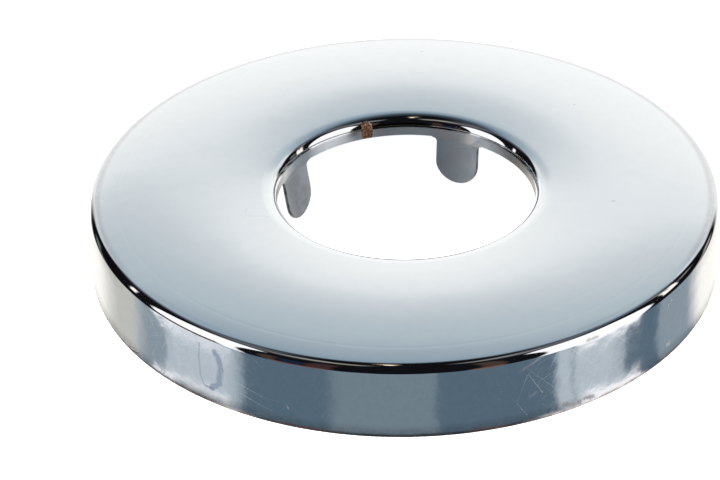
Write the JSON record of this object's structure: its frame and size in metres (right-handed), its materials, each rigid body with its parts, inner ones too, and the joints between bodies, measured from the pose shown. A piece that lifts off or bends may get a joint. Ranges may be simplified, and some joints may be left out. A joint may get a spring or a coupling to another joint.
{
  "type": "pipe rosette",
  "caption": "Round chrome-plated cover pressed from thin sheet, with a plain skirt, a dished face and a collar whose spring tabs grip a pipe, hiding the wall hole.",
  "frame": {"origin": "on the axis of the hole, in the plane of the skirt's rim, which rests on the wall or floor", "axes": "+Z along the pipe, away from the wall that the rim rests on; +X to the right in the picture and +Y away from the camera"},
  "size_m": [0.0544, 0.0544, 0.0069],
  "materials": {
    "chrome_plate": "bright chrome plate on thin pressed sheet, buffed on the face, fine scratches on the skirt, satin inside the collar and on the tabs"
  },
  "bodies": {
    "root": {"rosette": "chrome_plate"}
  },
  "joints": []
}
